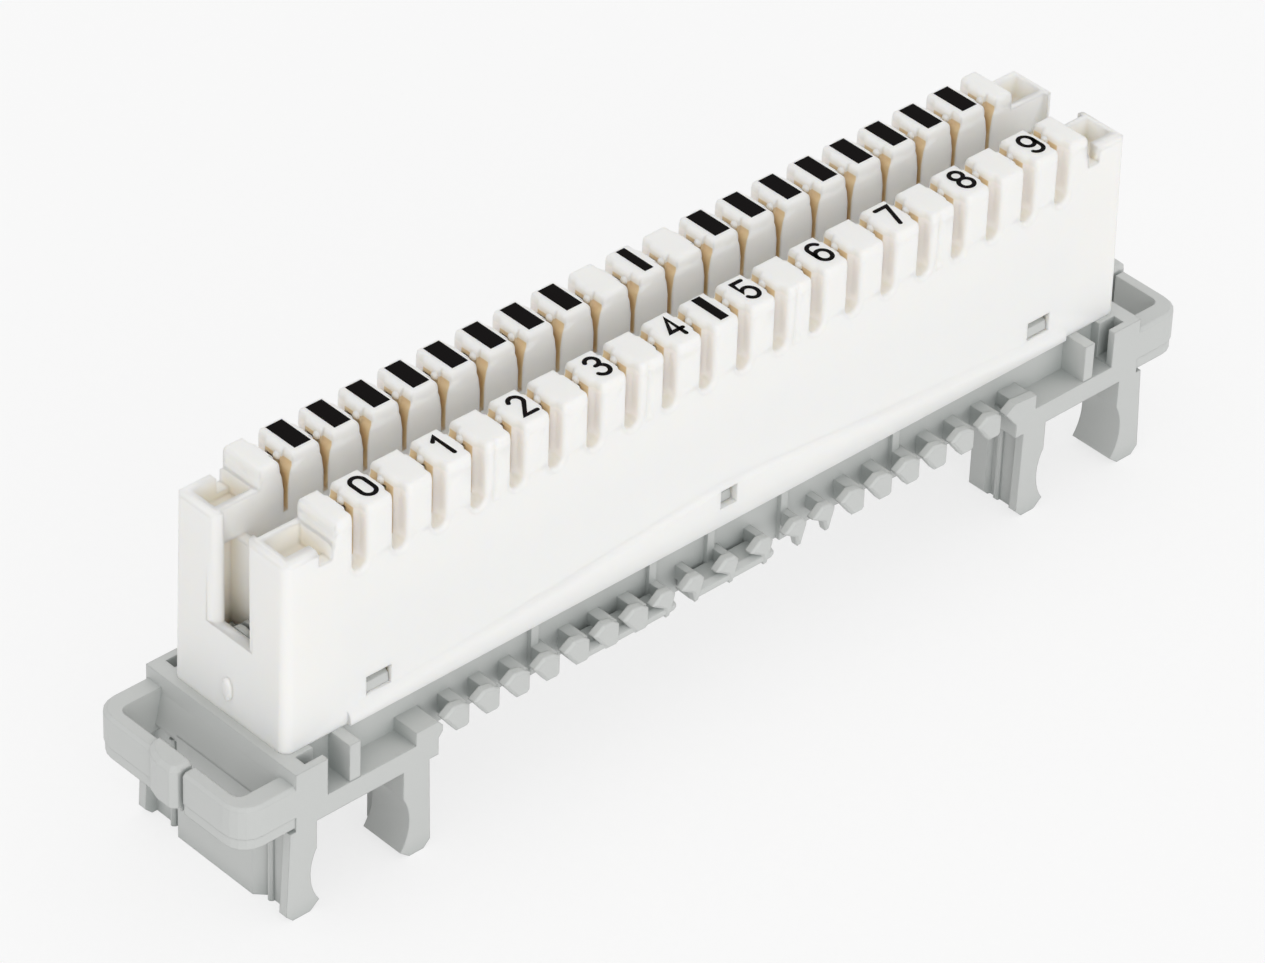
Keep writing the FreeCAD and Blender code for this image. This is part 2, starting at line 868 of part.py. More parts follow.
def loop():
    """The right end loop: a rounded ring with a parting line and a split in its end bar."""
    x_low = base_end - end_block_length / 2
    x_high = base_end + loop_reach
    half_y = flange_reach
    top = ledge_z - loop_top_drop
    low = top - loop_height
    parting = low + loop_parting_lift

    def rounded_end(reach, half, radius, z_span):
        quarter = [math.pi / 2 * k / loop_corner_sides for k in range(loop_corner_sides + 1)]
        side = [
            (reach - radius + radius * math.cos(angle), half - radius + radius * math.sin(angle))
            for angle in quarter
        ]
        outline = [(x, -y) for x, y in reversed(side)] + side
        return prism_along_z([(x_low, -half)] + outline + [(x_low, half)], *z_span)

    upper = rounded_end(x_high, half_y, loop_corner_radius, (parting, top))
    rim = [
        edge for edge in upper.Edges
        if edge.BoundBox.ZMin > top - 0.01 and edge.BoundBox.XMax > x_low + 1
    ]
    upper = upper.makeChamfer(loop_edge_chamfer, rim)
    lower_span = (low, parting)
    inset = loop_parting_step
    lower = rounded_end(x_high - inset, half_y - inset, loop_corner_radius - inset, lower_span)
    opening = rounded_end(
        x_high - loop_end_bar,
        half_y - loop_side_bar,
        loop_corner_radius * 0.35,
        (low - 1, top + 1),
    )
    opening = opening.cut(box((-far, base_end), (-far, far), (low - 2, top + 2)))
    gap = box(
        (x_high - loop_end_bar - 0.1, x_high + 1),
        (loop_gap_y - loop_gap / 2, loop_gap_y + loop_gap / 2),
        (low - 1, top + 1),
    )
    inner_block = box((base_end - end_block_length, base_end), (-far, far), (low - 1, top + 1))
    ring = upper.fuse(lower).cut([opening, gap])
    bulge_low = loop_gap_y + loop_gap / 2
    bulge_high = bulge_low + bulge_length
    bulge = prism_along_z(
        [
            (x_high - loop_end_bar, bulge_low),
            (x_high + bulge_proud - bulge_corner, bulge_low),
            (x_high + bulge_proud, bulge_low + bulge_corner),
            (x_high + bulge_proud, bulge_low + bulge_length * 0.5),
            (x_high + bulge_proud * 0.5, bulge_low + bulge_length * 0.8),
            (x_high - bulge_proud * 0.3, bulge_high),
            (x_high - loop_end_bar, bulge_high),
        ],
        low + 0.1,
        top + bulge_rise,
    )
    rims = [edge for edge in bulge.Edges if edge.BoundBox.ZLength < 0.01 and edge.BoundBox.XMax > x_high]
    bulge = bulge.makeChamfer(bulge_crown, rims)
    return [ring.cut(inner_block), bulge]


def end_wall_profile():
    """The right end wall: a flat band that leans outwards below."""
    top = ledge_z
    return prism_along_y(
        [
            (base_end - base_wall, top),
            (base_end, top),
            (base_end, top - 2.0),
            (base_end + end_wall_lean, top - end_wall_drop),
            (base_end - 0.5, top - end_wall_drop),
            (base_end - base_wall, top - 2.6),
        ],
        -flange_reach + loop_side_bar - 0.1,
        flange_reach - loop_side_bar + 0.1,
    )


def end_block():
    """The solid block at the right end of the front flange, with its key slot."""
    block = box((block_start, base_end), (-flange_reach, -wall_face + base_wall), (beam_z, ledge_z))
    front = -flange_reach + key_slot_front_wall
    slot = box(
        (block_start - 1, block_start + key_slot_length),
        (front, front + key_slot_width),
        (ledge_z - key_slot_depth, ledge_z + 1),
    )
    return block.cut(slot)


def chamber_post():
    """The post with two round-topped plates that stands in the right end chamber."""
    low_x = chamber_start + fit_clearance
    high_x = chamber_end - fit_clearance
    half = chamber_width / 2 - 2 * fit_clearance
    top = ledge_z + chamber_post_height
    post = box((low_x, high_x), (-half, half), (ledge_z - 1, top))
    centre = ledge_z + hump_height - hump_radius
    arch = [(hump_radius, top - 0.5), (hump_radius, centre)]
    arch += [
        (hump_radius * math.cos(math.pi * k / 6), centre + hump_radius * math.sin(math.pi * k / 6))
        for k in range(1, 6)
    ]
    arch += [(-hump_radius, centre), (-hump_radius, top - 0.5)]
    plates = [
        prism_along_x(arch, start, start + hump_thickness)
        for start in (low_x, high_x - hump_thickness)
    ]
    return post.fuse(plates)


def upstand():
    """The rim that fits up inside the housing's skirt, with the nubs that snap into its windows."""
    outer_y = cell_half_width - fit_clearance
    outer_x = cross_wall_start + 1.0
    low = ledge_z - 1
    high = ledge_z + upstand_height
    rim = box((-outer_x, outer_x), (-outer_y, -outer_y + upstand_wall), (low, high))
    nubs_low = ledge_z + window_lift + fit_clearance
    nubs_high = nubs_low + window_height - 2 * fit_clearance
    shapes = [rim]
    places = [(side * end_window_x, end_window_length) for side in (-1, 1)]
    places.append((middle_window_x, middle_window_length))
    for x, length in places:
        half = length / 2 - fit_clearance
        shapes.append(prism_along_x(
            [
                (-outer_y + upstand_wall / 2, nubs_low),
                (-half_width + window_nub_reach, nubs_low),
                (-half_width + window_nub_reach + 0.15, nubs_low + 1.0),
                (-outer_y + upstand_wall / 2, nubs_high),
            ],
            x - half,
            x + half,
        ))
    return shapes


def base_moulding():
    """The grey moulding: deck, walls, hooks, flanges, end blocks, loops and clip feet."""
    foot_start = bar_x - leg_outer_reach - 1.1
    deck = box((-base_end + 0.1, base_end - 0.1), (-wall_face, wall_face), (deck_z, ledge_z))
    middle_wall = box(
        (-foot_start - 1, foot_start + 1),
        (-wall_face, -wall_face + base_wall),
        (ledge_z - middle_wall_height, deck_z + 1),
    )
    side = front_and_back([middle_wall] + hooks() + upstand())
    flange = box((foot_start, base_end), (-flange_reach, -wall_face + base_wall), (beam_z, flange_z))
    web = box((foot_start, base_end), (-wall_face, -wall_face + base_wall), (beam_z, deck_z + 1))
    rib = box((rib_end - rib_length, rib_end), (-flange_reach + 0.1, -wall_face + 0.5), (beam_z + 1, ledge_z))
    ends = front_and_back([flange, web, rib, end_block()])
    ends += loop() + [end_wall_profile(), chamber_post()]
    body = deck.fuse(side + left_and_right(ends) + feet())
    tail_half_x = tail_width / 2 + tail_clearance
    tail_half_y = stem_thickness / 2 + tail_clearance
    slots = []
    for x in terminal_xs:
        slots.append(box(
            (x - tail_half_x, x + tail_half_x),
            (-row_offset - tail_half_y, -row_offset + tail_half_y),
            (0, ledge_z + 1),
        ))
    return single_solid(body.cut(front_and_back(slots)))


def main():
    """Build every piece and write one file for each."""
    os.makedirs("parts", exist_ok=True)
    pieces = {"contact_housing": contact_housing(), "base_moulding": base_moulding()}
    pieces.update(contacts())
    for name, shape in pieces.items():
        shape.exportStep("parts/%s.step" % name)
        print(name, len(shape.Solids), "solid", shape.isValid(), round(shape.Volume, 2), "mm3")


main()
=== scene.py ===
import math

import bmesh
import bpy
import numpy as np
from mathutils import Matrix, Vector


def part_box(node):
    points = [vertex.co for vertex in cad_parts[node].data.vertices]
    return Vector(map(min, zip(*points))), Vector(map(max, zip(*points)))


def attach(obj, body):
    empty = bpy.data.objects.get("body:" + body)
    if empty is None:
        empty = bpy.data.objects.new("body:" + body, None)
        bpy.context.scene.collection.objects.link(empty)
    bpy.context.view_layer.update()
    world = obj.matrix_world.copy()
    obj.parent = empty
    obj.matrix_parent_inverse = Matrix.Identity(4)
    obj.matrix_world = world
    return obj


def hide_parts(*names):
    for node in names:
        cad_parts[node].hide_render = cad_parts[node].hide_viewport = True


bl_info = {
    "name": "Punch Down Wiring Block",
    "version": (1, 0, 0),
    "blender": (4, 5, 0),
    "location": "View3D > Sidebar > Wiring Block",
    "description": "Finishes, prints and lights a punch down wiring block",
    "category": "Add Mesh",
}

MM = 0.001

# The frame: the moulded and stamped pieces at their real places.
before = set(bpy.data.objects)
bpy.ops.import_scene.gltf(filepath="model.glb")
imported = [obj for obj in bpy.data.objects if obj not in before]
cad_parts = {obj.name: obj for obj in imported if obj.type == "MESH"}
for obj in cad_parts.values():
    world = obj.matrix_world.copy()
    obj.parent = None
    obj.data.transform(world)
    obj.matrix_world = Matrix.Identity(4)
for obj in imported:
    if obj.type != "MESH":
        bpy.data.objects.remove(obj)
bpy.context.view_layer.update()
HOUSING = "contact_housing"
BASE = "base_moulding"
CONTACTS = [node for node in sorted(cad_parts) if node.startswith("contact_") and node != HOUSING]

# Driving sizes of the terminals, in millimetres.
PITCH = 4.75
TEETH_PER_ROW = 19
LAST_SLOT = 45.125
LABEL_SHIFT = 0.15
FRONT_LABEL_Y = -5.1
BACK_LABEL_Y = 5.3
TOOTH_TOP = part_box(HOUSING)[1].z / MM
SLOT_FLOOR = 34.4
SLOT_BEVEL = 39.6
SLOT_HALF = 0.48
CHANNEL_HALF = 2.6
ROW_FACE = 7.84

# Distances within which points are joined or lie on a cut, and how far a cutter overshoots.
MERGE_DISTANCE = 0.0005
CUT_DISTANCE = 0.0001
OVERSHOOT = 1.0

# The rounded mouths of the wire slots, in millimetres.
MOUTH_HALF = 0.85
MOUTH_EDGE = 0.5
MOUTH_END = 6.6
STEP_END = 6.1
MOUTH_CENTRE = 34.6
MOUTH_CLEARANCE = 0.02
MOUTH_ARC_STEPS = 11
MOUTH_EDGE_STEPS = 7

# The soft grooves down every fourth tooth, in millimetres.
GROOVE_HALF = 0.5
GROOVE_DEPTH = 0.3
GROOVE_END = 0.9
GROOVE_SHIFT = -0.35
GROOVE_SKIN = 0.001
GROOVE_EVERY = 4
GROOVE_WAVE_STEPS = 11
GROOVE_RISE_STEPS = 6

# The rounded tops of the teeth, from a level just above the contacts, in millimetres.
CAP_START = 39.16
CAP_SIDE = 0.75
CAP_END = 0.5
CAP_POWER = 3.0
CAP_LEVELS = 7

# The round nubs that hold the wire above each contact, in millimetres.
NUB_RADIUS = 0.45
NUB_OFFSET = 0.55
NUB_Y = 4.45
NUB_Z = 39.48
NUB_STEP = 30

# Where painted shade (tan narrow slots, creamier recesses) and painted light (lighter mouths) change
# the white plastic's tone around the slots: how far each edge runs out, in millimetres.
SLOT_TONE_HALF = (0.92, 1.0)
SLOT_TONE_CHANNEL = (0.02, 0.2)
SLOT_TONE_FADE = 0.1
SLOT_TONE_FLOOR = (-0.3, 0.2)
SLOT_TONE_LAST = (1.1, 1.3)
SLOT_TONE_NARROW = (-0.05, 0.1)
MOUTH_TONE = (0.2, 0.6)
INSIDE_TONE = (-0.5, 0.1)

# Softened edges of the mouldings, in millimetres; the white ones grow between two heights.
EDGE_SOFT = 0.22
EDGE_SOFT_GAIN = 0.3
EDGE_GAIN_RANGE = (24.0, 28.0)

# The stage: half the floor, and the front light's place, aim and width, in millimetres.
FLOOR_HALF = 3000.0
LIGHT_PLACE = (-330, -860, 350)
LIGHT_AIM = (0, 0, 20)
LIGHT_WIDTH = 700

# The camera, from the eight corners and the bar spacing measured in the photograph.
CAMERA_MM = (-345.46, -354.04, 387.37)
AIM_MM = (-4.62, -0.52, 19.91)
CAMERA_ROLL = math.radians(2.19)
LENS_MM = 183.02
SENSOR_MM = 36.0

# How far the floor is whitened where the camera sees it.
FLOOR_WHITENING = 0.72

# Above this height, in millimetres, faces that meet at less than this angle are shaded as one.
SMOOTH_START = 33.0
SMOOTH_ANGLE = math.radians(32)

# The lift of each ink stroke above the one before, in millimetres, so that none share a plane.
STROKE_RISE = 0.001
PEN_CAP_STEPS = 9
ARC_STEPS = 20


def linear(hex_colour):
    """An sRGB hex colour as linear RGBA."""
    channels = [int(hex_colour[i:i + 2], 16) / 255 for i in (1, 3, 5)]
    curve = [c / 12.92 if c <= 0.04045 else ((c + 0.055) / 1.055) ** 2.4 for c in channels]
    return (*curve, 1.0)


# Materials.
def add_node(tree, kind, inputs=None, **settings):
    """A node with its settings, and its inputs set to a value or linked from a socket."""
    node = tree.nodes.new(kind)
    for name, value in settings.items():
        setattr(node, name, value)
    for socket, source in (inputs or {}).items():
        if isinstance(source, bpy.types.NodeSocket):
            tree.links.new(source, node.inputs[socket])
        else:
            node.inputs[socket].default_value = source
    return node


def new_material(name):
    """An empty node material with its output node."""
    material = bpy.data.materials.new(name)
    material.use_nodes = True
    tree = material.node_tree
    tree.nodes.clear()
    return material, tree, add_node(tree, "ShaderNodeOutputMaterial")


def finish_material(tree, output, colour, normal, roughness, **shader):
    """A Principled surface with the given colour and normal sockets or values."""
    inputs = {"Base Color": colour, "Roughness": roughness}
    if normal is not None:
        inputs["Normal"] = normal
    inputs.update({name.replace("_", " "): value for name, value in shader.items()})
    surface = add_node(tree, "ShaderNodeBsdfPrincipled", inputs)
    tree.links.new(surface.outputs[0], output.inputs["Surface"])


def object_mm(tree):
    """The Object coordinates in millimetres, as a vector and as three numbers."""
    coordinates = add_node(tree, "ShaderNodeTexCoord")
    scaled = add_node(
        tree, "ShaderNodeVectorMath",
        {0: coordinates.outputs["Object"], "Scale": 1 / MM}, operation="SCALE",
    )
    parts = add_node(tree, "ShaderNodeSeparateXYZ", {0: scaled.outputs[0]})
    return scaled.outputs[0], parts.outputs[0], parts.outputs[1], parts.outputs[2]


def math_node(tree, operation, *values):
    """The output of a Math node."""
    return add_node(tree, "ShaderNodeMath", dict(enumerate(values)), operation=operation).outputs[0]


def ramp(tree, value, low, high):
    """A smooth step of a value from 0 at low to 1 at high, which may be the smaller number."""
    return add_node(
        tree, "ShaderNodeMapRange",
        {"Value": value, "From Min": low, "From Max": high},
        interpolation_type="SMOOTHSTEP",
    ).outputs[0]


def mix_colour(tree, factor, first, second):
    """Two colours mixed by a factor."""
    node = add_node(tree, "ShaderNodeMix", {0: factor, 6: first, 7: second}, data_type="RGBA")
    return node.outputs[2]


def moulded_normal(tree, position, edge_radius, grain_mm, grain_strength):
    """A moulded surface: softly rounded edges and a fine spark-eroded grain."""
    edges = add_node(tree, "ShaderNodeBevel", {"Radius": edge_radius}, samples=5)
    grain = add_node(
        tree, "ShaderNodeTexNoise",
        {"Vector": position, "Scale": 1 / grain_mm, "Detail": 3.0, "Roughness": 0.6},
    )
    bump = add_node(
        tree, "ShaderNodeBump",
        {
            "Strength": grain_strength,
            "Distance": 0.02 * MM,
            "Height": grain.outputs[0],
            "Normal": edges.outputs[0],
        },
    )
    return bump.outputs[0]


def seen_directly(tree):
    """1 for the rays that see the background: camera, mirror and glass rays."""
    path = add_node(tree, "ShaderNodeLightPath")
    seen = math_node(tree, "MAXIMUM", path.outputs["Is Camera Ray"], path.outputs["Is Glossy Ray"])
    return math_node(tree, "MAXIMUM", seen, path.outputs["Is Transmission Ray"])


def white_pbt(name, base, slotted):
    """Moulded PBT: opaque warm white, satin, and creamier in its recesses: painted shade.

    The narrow slots are painted tan for their shade, as in the photograph, and the slot mouths
    a lighter white for painted light. The spark-eroded grain is 0.16 mm, coarser than the real
    one, so that it shows.
    """
    material, tree, output = new_material(name)
    position, x, y, z = object_mm(tree)
    depth = math_node(tree, "ABSOLUTE", y)
    off_slot = math_node(tree, "SUBTRACT", PITCH / 2, math_node(tree, "PINGPONG", x, PITCH / 2))
    reach = math_node(tree, "ABSOLUTE", x)
    regions = [
        ramp(tree, off_slot, SLOT_TONE_HALF[1], SLOT_TONE_HALF[0]),
        ramp(tree, depth, CHANNEL_HALF + SLOT_TONE_CHANNEL[0], CHANNEL_HALF + SLOT_TONE_CHANNEL[1]),
        ramp(tree, z, SLOT_BEVEL + SLOT_TONE_FADE, SLOT_BEVEL - SLOT_TONE_FADE),
        ramp(tree, z, SLOT_FLOOR + SLOT_TONE_FLOOR[0], SLOT_FLOOR + SLOT_TONE_FLOOR[1]),
        ramp(tree, reach, LAST_SLOT + SLOT_TONE_LAST[1], LAST_SLOT + SLOT_TONE_LAST[0]),
    ]
    slot = regions[0]
    for region in regions[1:]:
        slot = math_node(tree, "MULTIPLY", slot, region)
    # Painted shade: the narrow slots, in from the step, are painted tan.
    before_step = ramp(tree, depth, STEP_END + SLOT_TONE_NARROW[1], STEP_END + SLOT_TONE_NARROW[0])
    # Painted light: the mouth walls behind the outer face are painted a lighter white.
    behind_face = ramp(tree, depth, ROW_FACE - MOUTH_TONE[0], ROW_FACE - MOUTH_TONE[1])
    narrow = math_node(tree, "MULTIPLY", slot, before_step)
    painted_mouth_light = math_node(tree, "MULTIPLY", slot, behind_face)
    # Painted shade: where the AO node finds the plastic hemmed in, back from the outer faces, the white
    # turns cream.
    shade = add_node(tree, "ShaderNodeAmbientOcclusion", {"Distance": 5 * MM}, samples=8)
    inside = ramp(tree, depth, ROW_FACE + INSIDE_TONE[1], ROW_FACE + INSIDE_TONE[0])
    painted_recess_shade = math_node(tree, "MULTIPLY", ramp(tree, shade.outputs["AO"], 0.75, 0.1), inside)
    colour = mix_colour(tree, painted_recess_shade, base, linear("#F7F0E2"))
    if slotted:
        # Painted light on the slot mouths.
        colour = mix_colour(tree, painted_mouth_light, colour, linear("#FFF9F3"))
        # Painted shade in the narrow slots.
        colour = mix_colour(tree, narrow, colour, linear("#E6CB9F"))
    gain = ramp(tree, z, *EDGE_GAIN_RANGE)
    radius = math_node(tree, "MULTIPLY_ADD", gain, EDGE_SOFT_GAIN * MM, EDGE_SOFT * MM)
    normal = moulded_normal(tree, position, radius, 0.16, 0.25)
    finish_material(
        tree, output, colour, normal, 0.42,
        IOR=1.55, Subsurface_Weight=0.35, Subsurface_Scale=2 * MM,
        Subsurface_Radius=(1.0, 0.85, 0.65),
    )
    return material


def grey_polycarbonate(base):
    """Moulded polycarbonate: cool light grey, satin, and a little darker in its recesses: painted
    shade.

    Its spark-eroded grain is 0.14 mm, coarser than the real one, so that it shows.
    """
    material, tree, output = new_material("grey_moulded_polycarbonate")
    position = object_mm(tree)[0]
    # Painted shade: the grey turns darker where the AO node finds recesses.
    shade = add_node(tree, "ShaderNodeAmbientOcclusion", {"Distance": 4 * MM}, samples=8)
    painted_recess_shade = ramp(tree, shade.outputs["AO"], 0.8, 0.1)
    colour = mix_colour(tree, painted_recess_shade, base, linear("#ABB0AE"))
    normal = moulded_normal(tree, position, EDGE_SOFT * MM, 0.14, 0.3)
    finish_material(tree, output, colour, normal, 0.46, IOR=1.58)
    return material


def silvered_brass():
    """Silver-plated spring brass, stamped: a dull metal with faint rolling streaks.

    The streaks are about 0.2 mm wide and eight times as long, along the height of the stamping.
    It is darker than bright silver, which is painted shade for the fork tips down in their slots, as
    they look in the photograph.
    """
    material, tree, output = new_material("silvered_spring_brass")
    position = object_mm(tree)[0]
    stretch = add_node(
        tree, "ShaderNodeMapping", {"Vector": position, "Scale": (1.0, 1.0, 0.12)}, vector_type="POINT",
    )
    streaks = add_node(
        tree, "ShaderNodeTexNoise",
        {"Vector": stretch.outputs[0], "Scale": 6.0, "Detail": 4.0, "Roughness": 0.55},
    )
    # Painted shade: both streak colours are darker than bright silver; the streaks themselves are the
    # metal's own.
    colour = mix_colour(tree, streaks.outputs[0], linear("#3A332E"), linear("#7A7068"))
    roughness = math_node(tree, "MULTIPLY_ADD", streaks.outputs[0], 0.2, 0.25)
    finish_material(tree, output, colour, None, roughness, Metallic=1.0)
    return material


def print_ink(base):
    """Pad-printed ink: near black, with the slightly uneven gloss of a thin dried film.

    The film varies over about a quarter of a millimetre.
    """
    material, tree, output = new_material("black_pad_print_ink")
    position = object_mm(tree)[0]
    film = add_node(
        tree, "ShaderNodeTexNoise",
        {"Vector": position, "Scale": 4.0, "Detail": 3.0, "Roughness": 0.6},
    )
    colour = mix_colour(tree, film.outputs[0], base, linear("#171414"))
    roughness = math_node(tree, "MULTIPLY_ADD", film.outputs[0], 0.15, 0.6)
    finish_material(tree, output, colour, None, roughness, Specular_IOR_Level=0.03)
    return material


def pale_paper():
    """The stage floor: matt white paper that keeps a soft shadow and shows nearly white."""
    material, tree, output = new_material("pale_floor_paper")
    grain = add_node(
        tree, "ShaderNodeTexNoise",
        {"Vector": object_mm(tree)[0], "Scale": 0.8, "Detail": 4.0, "Roughness": 0.6},
    )
    colour = mix_colour(tree, grain.outputs[0], linear("#F4F4F4"), linear("#F8F8F8"))
    paper = add_node(tree, "ShaderNodeBsdfPrincipled", {"Base Color": colour, "Roughness": 0.9})
    white = add_node(tree, "ShaderNodeEmission", {"Color": (1.0, 1.0, 1.0, 1.0), "Strength": 1.0})
    share = math_node(tree, "MULTIPLY", seen_directly(tree), FLOOR_WHITENING)
    blend = add_node(
        tree, "ShaderNodeMixShader", {0: share, 1: paper.outputs[0], 2: white.outputs[0]},
    )
    tree.links.new(blend.outputs[0], output.inputs["Surface"])
    return material


# Mesh helpers.
def make_object(name, points, faces, material):
    """A mesh object from an (n, 3) array in millimetres and lists of corner numbers."""
    mesh = bpy.data.meshes.new(name)
    mesh.from_pydata((np.asarray(points) * MM).tolist(), [], faces)
    mesh.update()
    mesh.materials.append(material)
    piece = bpy.data.objects.new(name, mesh)
    bpy.context.scene.collection.objects.link(piece)
    return piece


def merged_copy(node):
    """A copy of a CAD node's mesh with its loose triangles joined at their shared corners."""
    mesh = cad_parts[node].data.copy()
    form = bmesh.new()
    form.from_mesh(mesh)
    bmesh.ops.remove_doubles(form, verts=form.verts, dist=MERGE_DISTANCE * MM)
    form.to_mesh(mesh)
    form.free()
    return mesh


def slot_centres():
    """The x of every wire slot: even steps between the two outer slots, in millimetres."""
    return np.linspace(-LAST_SLOT, LAST_SLOT, TEETH_PER_ROW + 1)


def closed_tubes(points):
    """The points and faces of tubes, from an array that ends in rings, points round and x, y, z.

    Corner i of a ring joins corners i and i + 1 of the next ring, and a flat face closes each end.
    """
    rings, around = points.shape[-3:-1]
    ring = np.arange(around)
    row = np.arange(rings - 1)[:, None] * around
    after = np.roll(ring, -1)
    quads = np.stack([row + ring, row + after, row + around + after, row + around + ring], axis=-1)
    faces = quads.reshape(-1, 4).tolist() + [ring.tolist(), (ring + (rings - 1) * around).tolist()]
    points = points.reshape(-1, 3)
    starts = range(0, len(points), rings * around)
    return points, [[i + start for i in face] for start in starts for face in faces]


def mouth_cutters(material):
    """The rounded mouths of all the wire slots, as closed shapes to cut with.

    Each ring has two upright sides over a half circle. Going in, its half width follows a
    quarter circle from the outer face, then stays level, then slopes down to the narrow slot.
    """
    turn = np.linspace(0, math.pi / 2, MOUTH_EDGE_STEPS)
    half = np.concatenate([
        [MOUTH_HALF + MOUTH_EDGE],
        MOUTH_HALF + MOUTH_EDGE * (1 - np.sin(turn)),
        [MOUTH_HALF, SLOT_HALF - MOUTH_CLEARANCE],
    ])
    reach = np.concatenate([
        [ROW_FACE + OVERSHOOT],
        ROW_FACE - MOUTH_EDGE * (1 - np.cos(turn)),
        [MOUTH_END, STEP_END],
    ])
    centre = np.full(len(half), MOUTH_CENTRE)
    centre[-1] = SLOT_FLOOR + half[-1] + MOUTH_CLEARANCE
    angle = math.pi * (1 + np.linspace(0, 1, MOUTH_ARC_STEPS))
    across = np.append(np.cos(angle), [1, -1])
    x = half[:, None] * across
    z = centre[:, None] + half[:, None] * np.append(np.sin(angle), [0, 0])
    z[:, -2:] = TOOTH_TOP + OVERSHOOT
    slots = np.array([(slot, side) for side in (-1, 1) for slot in slot_centres()])
    points = np.stack(np.broadcast_arrays(
        slots[:, 0, None, None] + x,
        slots[:, 1, None, None] * reach[:, None],
        z,
    ), axis=-1)
    return make_object("mouth_cutters", *closed_tubes(points), material)


def groove_cutters(material):
    """The soft upright grooves of every fourth tooth, as closed shapes to cut with.

    The depth follows one wave of a cosine across the groove, and it rises along a quarter sine
    from nothing at the lower end to its full value a little higher up.
    """
    teeth = np.arange(GROOVE_EVERY, TEETH_PER_ROW, GROOVE_EVERY)
    wave = np.linspace(-1, 1, GROOVE_WAVE_STEPS)
    across = np.concatenate([wave, [1, -1]]) * GROOVE_HALF
    rise = np.linspace(0, 1, GROOVE_RISE_STEPS)
    low = MOUTH_CENTRE - MOUTH_HALF
    z = np.append(low + GROOVE_END * rise, TOOTH_TOP + OVERSHOOT)
    full = np.append(np.sin(rise * math.pi / 2), 1)
    valley = GROOVE_DEPTH * (1 + np.cos(math.pi * wave)) / 2 + GROOVE_SKIN
    depth = full[:, None] * np.append(valley, [0, 0])
    depth[:, -2:] = -OVERSHOOT
    points = np.stack(np.broadcast_arrays(
        tooth_x(teeth)[:, None, None] + GROOVE_SHIFT + across,
        np.array([-1, 1])[:, None, None, None] * (ROW_FACE - depth),
        z[:, None],
    ), axis=-1)
    return make_object("groove_cutters", *closed_tubes(points), material)


def outward(mesh):
    """Turn the faces of closed shapes outwards."""
    form = bmesh.new()
    form.from_mesh(mesh)
    bmesh.ops.recalc_face_normals(form, faces=form.faces)
    form.to_mesh(mesh)
    form.free()


def cut_away(piece, cutter):
    """Subtract the cutter from a piece, and take the cutter out of the scene."""
    outward(cutter.data)
    cut = piece.modifiers.new("cut", "BOOLEAN")
    cut.operation = "DIFFERENCE"
    cut.solver = "EXACT"
    cut.object = cutter
    bpy.context.view_layer.update()
    shown = piece.evaluated_get(bpy.context.evaluated_depsgraph_get())
    mesh = bpy.data.meshes.new_from_object(shown)
    piece.modifiers.clear()
    piece.data = mesh
    bpy.data.objects.remove(cutter)


def stacked_rims(mesh):
    """Trim the teeth above the contacts, and stack copies of each open rim under a closing face.

    Ring number n is lifted n metres, so that its number can be read back from its height.
    """
    form = bmesh.new()
    form.from_mesh(mesh)
    bmesh.ops.bisect_plane(
        form, geom=form.verts[:] + form.edges[:] + form.faces[:], dist=CUT_DISTANCE * MM,
        plane_co=(0, 0, CAP_START * MM), plane_no=(0, 0, 1), clear_outer=True,
    )
    bmesh.ops.remove_doubles(form, verts=form.verts, dist=MERGE_DISTANCE * MM)
    rim = [edge for edge in form.edges if edge.is_boundary]
    for _ in range(CAP_LEVELS + 2):
        made = bmesh.ops.extrude_edge_only(form, edges=rim)["geom"]
        rim = [part for part in made if isinstance(part, bmesh.types.BMEdge)]
        raised = [part for part in made if isinstance(part, bmesh.types.BMVert)]
        bmesh.ops.translate(form, verts=raised, vec=(0, 0, 1))
    bmesh.ops.edgeloop_fill(form, edges=rim)
    form.to_mesh(mesh)
    form.free()


def tooth_core(x):
    """The lowest and highest x of the flat core of the tooth, or end piece, that each x is on."""
    tooth = np.round(x / PITCH) * PITCH
    half_core = PITCH / 2 - SLOT_HALF - CAP_SIDE
    end = np.abs(tooth) > LAST_SLOT
    outer = np.abs(x).max() - CAP_END
    inner = LAST_SLOT + SLOT_HALF + CAP_SIDE
    low = np.where(end, np.where(tooth > 0, inner, -outer), tooth - half_core)
    high = np.where(end, np.where(tooth > 0, outer, -inner), tooth + half_core)
    return low, high


def rounded_tops(mesh):
    """Close each trimmed tooth with a rounded top.

    Every point of the trimmed outline rises on a superellipse: as it climbs from the trim level
    to the tooth top it slides to the nearest point of the flat core rectangle of its tooth.
    """
    stacked_rims(mesh)
    flat = np.empty(len(mesh.vertices) * 3, np.float32)
    mesh.vertices.foreach_get("co", flat)
    points = flat.reshape(-1, 3).astype(float)
    level = np.round(points[:, 2] - CAP_START * MM).astype(int)
    cap = level > 0
    x, y = points[cap, 0] / MM, points[cap, 1] / MM
    slot = slot_centres()[np.abs(x[:, None] - slot_centres()).argmin(axis=1)]
    x = slot + np.sign(x - slot) * np.maximum(np.abs(x - slot), SLOT_HALF)
    angle = (level[cap] - 1) / (CAP_LEVELS + 1) * math.pi / 2
    keep = np.cos(angle).clip(0, 1) ** (2 / CAP_POWER)
    rise = np.sin(angle).clip(0, 1) ** (2 / CAP_POWER)
    core_x = np.clip(x, *tooth_core(x))
    core_y = np.sign(y) * np.clip(np.abs(y), CHANNEL_HALF + CAP_END, ROW_FACE - CAP_END)
    points[cap, 0] = (core_x + (x - core_x) * keep) * MM
    points[cap, 1] = (core_y + (y - core_y) * keep) * MM
    points[cap, 2] = (CAP_START + (TOOTH_TOP - CAP_START) * rise) * MM
    mesh.vertices.foreach_set("co", points.astype(np.float32).ravel())
    mesh.update()


